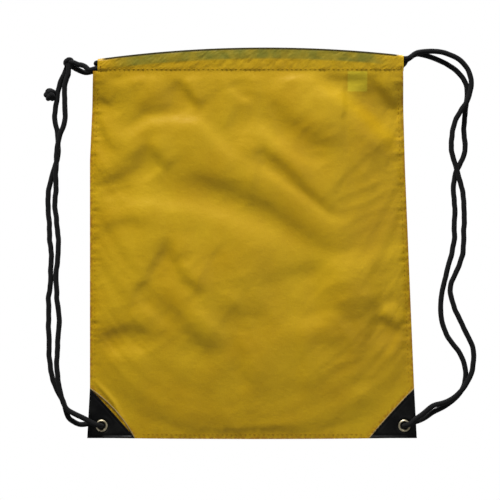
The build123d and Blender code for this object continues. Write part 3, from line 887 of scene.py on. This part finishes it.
RING_STEP = 0.6      # mm between a cord's rings of vertices
CORD_SIDES = 32
PLAIT_PITCH = 2.3
PLAITS = 8


def plait(phi, along):
    """Height 0 to 1 of a round braid: two sets of yarns passing over and under."""
    u = PLAITS * phi / (2 * np.pi) + along / PLAIT_PITCH
    v = PLAITS * phi / (2 * np.pi) - along / PLAIT_PITCH
    over = (np.floor(u) + np.floor(v)) % 2 == 0
    return np.where(over, np.sin(np.pi * (u % 1)), np.sin(np.pi * (v % 1)))


def wobbled(line, free):
    """Small uneven bends in a hanging cord; free is 0 where it's held and 1 where it isn't."""
    count = np.arange(len(line)) * RING_STEP
    bent = line.copy()
    for axis, seed, size in ((0, 3.0, 1.1), (1, 7.0, 0.35), (2, 11.0, 0.5)):
        wave = noise_at(count, count * 0, 21.0, seed + line[0, 0])
        wave += 0.6 * noise_at(count, count * 0, 9.0, seed + 1 + line[0, 0])
        bent[:, axis] += size * wave * free
    return bent


def cord_pieces(line, parts):
    """Cuts a braided cord into parts: each has a name, CAD nodes, first and last ring, and step."""
    one, two = ring_frames(line)[1:]
    steps = np.linalg.norm(np.diff(line, axis=0), axis=1)
    along = np.concatenate([[0], np.cumsum(steps)])
    phi = np.arange(CORD_SIDES) * 2 * np.pi / CORD_SIDES
    height = plait(phi[None, :], along[:, None])
    swell = 0.10 * noise_at(along, along * 0, 9.0, 1.0)
    swell += 0.05 * noise_at(along, along * 0, 3.0, 4.0)
    size = CORD_RADIUS - 0.10 + 0.17 * height + swell[:, None]
    out = one[:, None] * np.cos(phi)[None, :, None] + two[:, None] * np.sin(phi)[None, :, None]
    skin = line[:, None] + out * size[..., None]
    lay = np.stack(np.broadcast_arrays(np.cos(phi), np.sin(phi), along[:, None] * MM), axis=2)
    made = []
    for name, nodes, first, last, step in parts:
        rows = np.unique(np.append(np.arange(first, last, step), last))
        verts = skin[rows].reshape(-1, 3)
        marks = lay[rows].reshape(-1, 3)
        faces = quads(len(rows), CORD_SIDES, closed=True)
        for row, turned in ((first, True), (last, False)):
            base = len(verts)
            verts = np.concatenate([verts, skin[row], [line[row]]])
            marks = np.concatenate([marks, lay[row], [lay[row, 0]]])
            for j in range(CORD_SIDES):
                a, b, tip = base + j, base + (j + 1) % CORD_SIDES, base + CORD_SIDES
                faces.append((tip, b, a) if turned else (tip, a, b))
        made.append(make_object(name, nodes, verts, faces, CORD, {"lay": marks}))
    return made


def knot(name, node, body, centre, axis, size, lobe, waves):
    """A pulled-tight knot: cord wound twice round an axis, weaving in and out as it goes."""
    axis = np.array(axis, float) / np.linalg.norm(axis)
    side = np.cross(axis, (0.2, 1.0, 0.1))
    side /= np.linalg.norm(side)
    other = np.cross(axis, side)
    t = np.linspace(0, 2 * np.pi, 181)
    out = lobe + np.cos(waves * t)
    a, b, c = out * np.cos(2 * t), out * np.sin(2 * t), 1.5 * np.sin(waves * t)
    wound = a[:, None] * side + b[:, None] * other + c[:, None] * axis
    line = resample(np.array(centre) + size * wound, RING_STEP)
    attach(cord_pieces(line, [(name, node, 0, len(line) - 1, 1)])[0], body)


def ends_walked(line, first, last):
    """A centre line with extra end points added at both ends."""
    return np.concatenate([[first], line, [last]])


left_strap = walk(
    ["left_strand_front", "left_low_bend", "left_eyelet_cord", "left_strand_back"],
    (-198.4, -3.0, 392.8), (-0.3, 0, -1),
)
right_strap = walk(
    ["right_strand_front", "right_low_bend", "right_eyelet_cord", "right_strand_back"],
    (181.0, -3.0, 417.0), (1, 0, 0.1),
)
right_tunnel = walk(
    ["right_tunnel_cord", "right_top_bend"], right_strap[0], right_strap[0] - right_strap[1]
)
left_tunnel = walk(["left_tunnel_cord"], (-190.5, -3.2, 406.9), (1, 0, -0.1))


def swing_blend(piece, side, start, end):
    """Bakes the piece's transform into its mesh."""
    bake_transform(piece)


def build_left_cord():
    """The left strap, its tunnel cord, and the two knots."""
    centre = np.mean(box_mm("left_upper_knot"), axis=0)
    line = ends_walked(left_strap, centre + (0.2, -2.8, -1.0), centre + (-1.4, 2.8, -1.0))
    line = resample(line, RING_STEP)
    line = wobbled(line, smooth(40, 70, line[:, 2]) * smooth(395, 380, line[:, 2]))
    nodes = ["left_strand_front", "left_strand_back", "left_low_bend", "left_eyelet_cord"]
    strap = cord_pieces(line, [("left_strap_cord", nodes, 0, len(line) - 1, 1)])[0]
    swing_blend(strap, "left", (-201, 0, 24), (-201, 0, 95))
    line = ends_walked(left_tunnel, centre + (1.0, -2.4, 0.2), centre + (1.0, 2.4, -1.0))
    line = resample(line, RING_STEP)
    loose = smooth(-196, -186, line[:, 0]) * smooth(-168, -178, line[:, 0])
    line[:, 2] += np.where(line[:, 1] < 0, -3.6, 0.8) * loose
    far_turn = smooth(155, 160, line[:, 0]) * smooth(6.5, 1.5, np.abs(line[:, 1]))
    line[:, 2] += 4.0 * far_turn
    inside = np.flatnonzero(line[:, 0] > HEM_LEFT + 8)
    first, last = inside[0], inside[-1]
    node = "left_tunnel_cord"
    parts = [
        ("left_eye_front", node, 0, first, 1),
        ("left_tunnel_cord_run", node, first, last, 3),
        ("left_eye_back", node, last, len(line) - 1, 1),
    ]
    for piece in cord_pieces(line, parts):
        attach(piece, "left_cord")
    place = centre + (-0.2, 0, 0.4)
    knot("left_upper_knot_cord", "left_upper_knot", "left_cord", place, (0.2, 1.0, 0.35), 1.12, 2.0, 3)
    place = np.mean(box_mm("stopper_knot"), axis=0) + (1.2, 0, -0.4)
    knot("left_stopper_knot_cord", "stopper_knot", "left_strap", place, (0.35, 1.0, -0.2), 1.8, 1.6, 5)


SPLIT_X = 200.0      # the right cord's strap begins here
HALFWAY_Z = 215      # the right strap's lower part ends here


def build_right_cord():
    """The right strap in a lower and an upper part on each side, and its tunnel cord."""
    loop = np.concatenate([right_strap, right_tunnel[::-1][1:], right_strap[1:4]])
    line = resample(loop, RING_STEP)
    line = wobbled(line, smooth(205, 212, line[:, 0]) * smooth(45, 70, line[:, 2]))
    x, z = line[:, 0], line[:, 2]
    split_front = int(np.flatnonzero(x > SPLIT_X)[0])
    lowest = int(np.argmin(z))
    tunnel = int(np.flatnonzero((x < 178) & (np.arange(len(line)) > lowest) & (z > 300))[0])
    behind = np.arange(lowest, tunnel)
    split_back = int(behind[np.flatnonzero(x[behind] > SPLIT_X)[-1]])
    halfway_front = int(np.flatnonzero(z[:lowest] < HALFWAY_Z)[0])
    halfway_back = lowest + int(np.flatnonzero(z[lowest:] > HALFWAY_Z)[0])
    run = np.arange(tunnel, len(line))
    inside = run[x[run] < HEM_RIGHT - 8]
    first, last = int(inside[0]), int(inside[-1])
    front, back = "right_strand_front", "right_strand_back"
    low = [front, back, "right_low_bend", "right_eyelet_cord"]
    top = ["right_tunnel_cord", "right_top_bend"]
    upper_swing = ((200, 0, 417), (226, 0, 318))
    lower_swing = ((193, 0, 20), (193, 0, 130))
    parts = [
        ("right_exit_front", top, 0, split_front, 1),
        ("right_strap_front_upper", front, split_front, halfway_front, 1),
        ("right_strap_lower", low, halfway_front, halfway_back, 1),
        ("right_strap_back_upper", back, halfway_back, split_back, 1),
        ("right_exit_back", top, split_back, first, 1),
        ("right_tunnel_cord_run", top, first, last, 2),
        ("right_exit_end", top, last, len(line) - 1, 1),
    ]
    swings = (None, upper_swing, lower_swing, upper_swing, None, None, None)
    for piece, swing in zip(cord_pieces(line, parts), swings):
        if swing:
            swing_blend(piece, "right", *swing)
        else:
            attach(piece, "right_cord")


build_left_cord()
build_right_cord()


# ---- corner patches ----------------------------------------------------------------------
PATCH_CELLS = 44
PATCH_THICK = 0.9


def patch_surface(hand, side, bow):
    """X and Z of a grid over a corner patch, and points on its bowed diagonal."""
    low, high = box_mm(f"front_{side}_patch")
    outer = high[0] if hand > 0 else -low[0]
    corner = np.array([outer - 0.4, 0.0])
    top = np.array([PATCH_OUTER, high[2]])
    foot = np.array([-high[0] if hand < 0 else low[0], 0.0])
    middle = (top + foot) / 2 + np.array([-PATCH_TALL, PATCH_WIDE]) / PATCH_SLANT * bow
    control = 2 * middle - (top + foot) / 2
    t = np.linspace(0, 1, PATCH_CELLS)

    def diagonal(s):
        s = np.asarray(s)[..., None]
        return top * (1 - s) ** 2 + control * 2 * s * (1 - s) + foot * s**2

    u, v = np.meshgrid(t, t)
    u, v = u[..., None], v[..., None]
    across = (corner + (top - corner) * v) * (1 - u) + diagonal(1 - v[..., 0] * 0.5) * u
    up = (corner + (foot - corner) * u) * (1 - v) + diagonal(u[..., 0] * 0.5) * v
    plain = corner * (1 - u) * (1 - v) + foot * u * (1 - v)
    plain = plain + top * (1 - u) * v + diagonal(0.5) * u * v
    flat = across + up - plain
    border = diagonal(np.linspace(0, 1, 80))
    return flat[..., 0] * hand, flat[..., 1], border * (hand, 1)


def build_patch(away, face, hand, side):
    """One leather corner patch with rolled edges, a sewn groove and a lip along its foot."""
    node = f"{face}_{side}_patch"
    low, high = box_mm(node)
    x, z = patch_surface(hand, side, 0.6)[:2]
    rim_x, rim_z = (np.concatenate([a[0], a[-1], a[:, 0], a[:, -1]]) for a in (x, z))
    gap = np.hypot(x[..., None] - rim_x, z[..., None] - rim_z).min(axis=2)
    stand = max(abs(low[1]), abs(high[1]))
    rolled = np.sqrt(np.clip(1 - (1 - np.clip(gap / PATCH_THICK, 0, 1)) ** 2, 0, 1))
    body = 0.55 * noise_at(x, z, 22.0, 3.0 + hand + away) + 0.25 * noise_at(x, z, 8.0, 9.0 + hand)
    body *= smooth(0.0, 8.0, gap)
    lip = 0.9 * np.exp(-(((z - 1.4) / 1.2) ** 2)) - 0.45 * np.exp(-(((z - 3.4) / 0.9) ** 2))
    groove = -0.35 * np.exp(-(((gap - 2.6) / 0.8) ** 2))
    out = stand - PATCH_THICK + PATCH_THICK * rolled + body + (lip + groove) * smooth(0, 1.2, gap)
    hole_x, hole_z = eyelet_place(side)[:2]
    near = np.hypot(x - hole_x, z - hole_z)
    out += 0.35 * np.exp(-(((near - 9.0) / 2.2) ** 2))
    pressed = smooth(8.2, 7.0, near)
    out = out * (1 - pressed) + (stand - 0.1) * pressed
    points = np.stack([x, away * out, z], axis=2)
    normals = grid_normals(points)
    normals *= np.sign((normals[..., 1] * away).mean())
    verts, faces, both = shell(points, normals, PATCH_THICK)
    name = f"{node}_leather"
    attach(make_object(name, node, verts, faces, LEATHER, None, both), "bag")


def eyelet_place(side):
    """An eyelet's centre in X and Z, its front and back in Y, and its flange's radius."""
    low, high = box_mm(f"{side}_eyelet")
    return (low[0] + high[0]) / 2, (low[2] + high[2]) / 2, low[1], high[1], (high[0] - low[0]) / 2


for hand, side in HANDS:
    for away, face_name in FACES:
        build_patch(away, face_name, hand, side)


# ---- eyelets -----------------------------------------------------------------------------
def revolve(name, node, centre_x, centre_z, profile):
    """A brass ring turned about Y from a closed profile of radius and Y pairs."""
    sides, rows = 72, len(profile)
    angle = np.arange(sides) * 2 * np.pi / sides
    radius, depth = np.array(profile).T[..., None]
    ring = [centre_x + radius * np.cos(angle), depth + 0 * angle, centre_z + radius * np.sin(angle)]
    verts = np.stack(ring, axis=2).reshape(-1, 3)
    faces = []
    for i in range(rows):
        for j in range(sides):
            here, above, k = i * sides, (i + 1) % rows * sides, (j + 1) % sides
            faces.append((here + j, above + j, above + k, here + k))
    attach(make_object(name, node, verts, faces, BRASS), "bag")


def rounded(points):
    """A closed profile with every corner cut round, by repeated corner cutting."""
    points = np.array(points, float)
    for _ in range(3):
        after = np.roll(points, -1, axis=0)
        points = np.stack([points * 0.75 + after * 0.25, points * 0.25 + after * 0.75], axis=1)
        points = points.reshape(-1, 2)
    return points


def build_eyelet(side):
    """A rolled brass eyelet through both patches, and the washer it is set over behind."""
    x, z, front, back, flange = eyelet_place(side)
    hole, barrel = 4.0, 4.65
    eyelet = [
        (hole + 0.15, back - 0.1), (hole, 0), (hole + 0.05, front + 0.9), (hole + 0.7, front + 0.05),
        (flange - 1.1, front - 0.25), (flange, front + 0.45), (flange - 0.1, front + 0.75),
        (barrel + 0.5, front + 0.55), (barrel, 0), (barrel, back - 0.4), (barrel - 0.1, back),
    ]
    revolve(f"{side}_eyelet_ring", f"{side}_eyelet", x, z, rounded(eyelet))
    low, high = box_mm(f"{side}_washer")
    inner = barrel + 0.05
    washer = [
        (inner, low[1]), (flange, low[1]), (flange, high[1]), (flange - 0.9, high[1] + 0.35),
        (inner + 0.6, high[1] + 0.3), (inner, high[1]),
    ]
    revolve(f"{side}_washer_ring", f"{side}_washer", x, z, rounded(washer))


for hand, side in HANDS:
    build_eyelet(side)


# ---- stitching ---------------------------------------------------------------------------
def on_sheet(kind, away, x, z):
    """Y of a panel or hem at X and Z, looking at it from the side it faces."""
    hit = trees[kind, away].ray_cast(Vector((x, away * 60.0, z)), Vector((0, -away, 0)))[0]
    return hit.y if hit else None


THREAD_RADIUS = 0.24


def thread_mesh(name, node, stitches, material=THREAD):
    """Short arched lengths of thread; each stitch is two ends and the way it faces."""
    sides, rows = 6, 7
    angle = np.arange(sides) * 2 * np.pi / sides
    verts, faces = [], []
    for start, end, away in stitches:
        start, end = np.array(start), np.array(end)
        way = (end - start) / np.linalg.norm(end - start)
        up = np.array([0, away, 0.0])
        side = np.cross(way, up)
        base = len(verts)
        for t in np.linspace(0, 1, rows):
            centre = start + (end - start) * t + up * (0.42 * math.sin(math.pi * t) - 0.22)
            size = THREAD_RADIUS * (0.45 + 0.55 * math.sin(math.pi * (0.12 + 0.76 * t)))
            for a in angle:
                verts.append(centre + size * (up * math.cos(a) + side * math.sin(a)))
        faces += quads(rows, sides, base, closed=True)
        faces.append(tuple(base + j for j in range(sides))[::-1])
        faces.append(tuple(base + (rows - 1) * sides + j for j in range(sides)))
    return make_object(name, node, verts, faces, material)


STITCH_PITCH, STITCH_LENGTH = 5.0, 3.3


def stitch_on(kind, away, x0, z0, x1, z1):
    """One stitch laid on a sheet between two places, or nothing where the sheet ends."""
    first, last = on_sheet(kind, away, x0, z0), on_sheet(kind, away, x1, z1)
    if first is None or last is None:
        return []
    return [((x0, first, z0), (x1, last, z1), away)]


def hem_stitches(away, hand):
    """Half a row along the hem's lower edge."""
    found = []
    z, half = SEAM_TOP + 2.1, STITCH_LENGTH / 2
    for k in range(33):
        x = hand * (2.5 + k * STITCH_PITCH)
        if HEM_LEFT + 5 < x < HEM_RIGHT - 5:
            found += stitch_on("hem", away, x - half, z, x + half, z)
    return found


def side_stitches(hand):
    """A row up each face beside a side seam."""
    found = []
    column = 0 if hand < 0 else -1
    for away in (-1, 1):
        for k in range(64):
            low = 60 + k * STITCH_PITCH
            high = low + STITCH_LENGTH
            x0, x1 = np.interp((low, high), grid_z[:, column], grid_x[:, column]) - hand * 5.5
            found += stitch_on("panel", away, x0, low, x1, high)
    return found


def bottom_stitches():
    """A row along the bottom on both faces."""
    found = []
    for away in (-1, 1):
        for k in range(48):
            x = -119 + k * STITCH_PITCH
            found += stitch_on("panel", away, x, 4.2, x + STITCH_LENGTH, 4.2)
    return found


def patch_stitches():
    """A row beside each patch's diagonal."""
    found = []
    for hand in (-1, 1):
        for away in (-1, 1):
            for k in range(13):
                first, last = (
                    (hand * (171.5 - 43.0 * t), away * 1.95, 50.0 - 47.0 * t)
                    for t in (0.06 + k * 0.07, 0.105 + k * 0.07)
                )
                found.append((first, last, away))
    return found


def tunnel_end_bars(hand):
    """Short bars of thread that close the sides of the tunnel's end."""
    found = []
    x = HEM_LEFT + 3.0 if hand < 0 else HEM_RIGHT - 3.0
    for away in (-1, 1):
        for k in range(4):
            z = SEAM_TOP + 2.0 + k * 1.0
            found += stitch_on("hem", away, x - 1.2, z, x + 1.2, z)
    return found


for away, face_name in FACES:
    for hand, side in HANDS:
        node = f"{face_name}_hem_stitching"
        drag(thread_mesh(f"{node}_{side}", node, hem_stitches(away, hand), HEM_THREAD))
for hand, side in HANDS:
    drag(thread_mesh(f"{side}_seam_thread", f"{side}_seam_stitching", side_stitches(hand)))
    bars = tunnel_end_bars(hand)
    drag(thread_mesh(f"tunnel_end_bars_{side}", "tunnel_end_stitching", bars))
row = patch_stitches()
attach(thread_mesh("bottom_seam_thread", "bottom_seam_stitching", bottom_stitches()), "bag")
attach(thread_mesh("patch_thread", "patch_stitching", row, CORD_THREAD), "bag")


# ---- the pale edge of each patch's backing ---------------------------------------------------
PIPING_SIDES = 12


def build_piping(away, face, hand, side):
    """A thin pale strip that shows beyond a patch's diagonal, lying on the cloth."""
    bow = 4.6 if (face, side) == ("front", "left") else 0.9
    diagonal = patch_surface(hand, side, bow)[2][1:-1]
    line = []
    for x, _, z in resample(np.insert(diagonal, 1, 0, axis=1), 1.0):
        depth = on_sheet("panel", away, x, max(z, 1.0))
        stand = max(1.1, abs(depth) if depth is not None else 0)
        line.append((x, away * (stand + 0.05), max(z, 0.5)))
    line = softened(np.array(line), 8)
    flat = np.array([0, away, 0.0])
    across = np.cross(ring_frames(line)[0], flat)
    across /= np.linalg.norm(across, axis=1)[:, None]
    angle = np.arange(PIPING_SIDES) * 2 * np.pi / PIPING_SIDES
    wide = 0.62 + 0.12 * noise_at(line[:, 0], line[:, 2], 3.0, 5.0)
    verts = line[:, None] + (
        across[:, None] * (np.cos(angle)[None, :] * wide[:, None])[..., None]
        + flat * (0.45 * np.sin(angle))[None, :, None]
    )
    count = len(line)
    faces = quads(count, PIPING_SIDES, closed=True)
    faces.append(tuple(range(PIPING_SIDES))[::-1])
    faces.append(tuple((count - 1) * PIPING_SIDES + j for j in range(PIPING_SIDES)))
    node = f"{face}_{side}_patch"
    name = f"{node}_piping"
    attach(make_object(name, node, verts.reshape(-1, 3), faces, TAPE), "bag")


for away, face_name in FACES:
    for hand, side in HANDS:
        build_piping(away, face_name, hand, side)


# ---- care label --------------------------------------------------------------------------
LABEL_THICK = 0.25
LABEL_CELLS = 24


def build_label():
    """A blank woven label sewn in behind the front cloth."""
    across = np.linspace(label_low[0], label_high[0], LABEL_CELLS)
    up = np.linspace(label_low[2], label_high[2], LABEL_CELLS)
    x, z = np.meshgrid(across, up)
    cloth = [on_sheet("panel", -1, a, b) or -RUN_DEPTH for a, b in zip(x.flat, z.flat)]
    points = np.stack([x, np.reshape(cloth, x.shape) + 1.0, z], axis=2)
    verts, faces, both = shell(points, grid_normals(points), LABEL_THICK)
    name, node = "blank_care_label", "care_label"
    drag(make_object(name, node, verts, faces, LABEL, None, both))


build_label()


# ---- stage -------------------------------------------------------------------------------
SURROUND = 0.13      # strength of the light from all round; the camera sees 1


def place_object(name, data):
    """A new object of the stage."""
    made = bpy.data.objects.new(name, data)
    bpy.context.scene.collection.objects.link(made)
    return made


def build_stage():
    """A pale floor, a surround that the camera sees as white, and three lamps."""
    mesh = bpy.data.meshes.new("floor")
    reach, level, sides = 3.0, -0.6, 96
    turns = [2 * math.pi * k / sides for k in range(sides)]
    rim = [(reach * math.cos(turn), reach * math.sin(turn), level) for turn in turns]
    mesh.from_pydata(rim, [], [tuple(range(sides))])
    material, tree, shader = new_material("pale_floor")
    seen = add_node(tree, "ShaderNodeLightPath").outputs["Is Camera Ray"]
    fill(tree, shader, {
        "Base Color": grey(0.28),
        "Roughness": 0.9,
        "Specular IOR Level": 0.1,
        "Emission Color": grey(1),
        "Emission Strength": calc(tree, "MULTIPLY", seen, 0.70),
    })
    mesh.materials.append(material)
    floor = place_object("floor", mesh)
    for name, place, size, power in (
        ("key_lamp", (-0.55, -1.00, 2.95), 0.60, 148.0),
        ("fill_lamp", (0.9, -1.9, 0.5), 1.2, 6.0),
        ("rear_lamp", (0.3, 1.0, 1.5), 0.8, 26.0),
    ):
        light = bpy.data.lights.new(name, "AREA")
        light.size, light.energy = size, power
        lamp = place_object(name, light)
        lamp.location = place
        aim = Vector((0, 0, 0.2)) - Vector(place)
        lamp.rotation_euler = aim.to_track_quat("-Z", "Y").to_euler()
    world = bpy.data.worlds.new("surround")
    bpy.context.scene.world = world
    world.use_nodes = True
    tree = world.node_tree
    ray = add_node(tree, "ShaderNodeLightPath").outputs["Is Camera Ray"]
    strength = calc(tree, "MULTIPLY_ADD", ray, 1.0 - SURROUND, SURROUND)
    fill(tree, tree.nodes["Background"], {"Color": grey(1), "Strength": strength})


build_stage()
camera_data = bpy.data.cameras.new("camera")
camera_data.sensor_width = 36.0
camera_data.lens = 106.5
camera = place_object("camera", camera_data)
camera.location = (-0.0022, -1.6, 0.2034)
camera.rotation_euler = (math.pi / 2, 0, 0)
bpy.context.scene.camera = camera
bpy.context.scene.view_settings.view_transform = "Standard"
